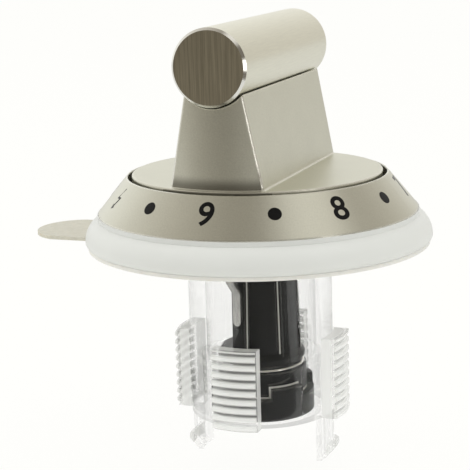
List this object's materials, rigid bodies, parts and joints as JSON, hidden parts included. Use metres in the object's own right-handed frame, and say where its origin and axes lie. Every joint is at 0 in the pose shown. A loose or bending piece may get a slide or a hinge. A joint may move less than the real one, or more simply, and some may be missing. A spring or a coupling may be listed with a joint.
{
  "type": "hob selector knob",
  "caption": "Push-and-turn hob knob: round steel grip bar on a cast disc, fixed conical scale ring, opal light ring and a clear threaded mounting sleeve.",
  "frame": {"origin": "point where the knob's axis crosses the panel's top face, which is the seal's underside", "axes": "+Z along the knob's axis away from the panel, towards the grip bar; the bar's front end points along -Y at rest; the seal's tongue points along -X"},
  "size_m": [0.0793, 0.066, 0.0846],
  "materials": {
    "brushed_bar": "brushed round the bar, polished end chamfers",
    "cast_metal": "bead blasted, satin",
    "satin_steel": "fine satin, turned",
    "screw_steel": "bright zinc plated",
    "spring_steel": "drawn spring steel",
    "black_plastic": "moulded black, slightly glossy",
    "white_plastic": "smooth low-friction plastic",
    "pale_liner": "soft pale liner, matt",
    "black_rubber": "moulded rubber",
    "opal_plastic": "opal, softly glossy",
    "clear_plastic": "clear moulded",
    "seal_rubber": "thin flat sheet, pale"
  },
  "bodies": {
    "housing": {"mounting_sleeve": "clear_plastic", "panel_seal": "seal_rubber", "light_ring": "opal_plastic", "scale_ring": "satin_steel", "bezel_carrier": "black_plastic", "carrier_screws": "screw_steel", "ring_gasket": "black_rubber", "drip_seal": "black_rubber", "spring_seat": "spring_steel", "friction_spring": "spring_steel", "return_spring": "spring_steel"},
    "slider": {"slip_washer": "white_plastic"},
    "knob": {"grip_bar": "brushed_bar", "bar_screws": "screw_steel", "knob_body": "cast_metal", "drive_hub": "black_plastic", "hub_screw": "screw_steel", "hub_ring": "spring_steel", "coupling_liner": "pale_liner", "shaft_adapter": "black_plastic", "shaft_clip": "spring_steel"}
  },
  "joints": [
    {"name": "push", "type": "slide", "parent": "housing", "child": "slider", "axis": [0, 0, -1], "range_m": [0, 0.0025], "stiffness_N_per_m": 900, "springref_m": -0.005, "deforming": ["return_spring"]},
    {"name": "turn", "type": "hinge", "parent": "slider", "child": "knob", "pos_m": [0, 0, 0], "axis": [0, 0, 1], "range_deg": [-77.14, 257.14]}
  ]
}
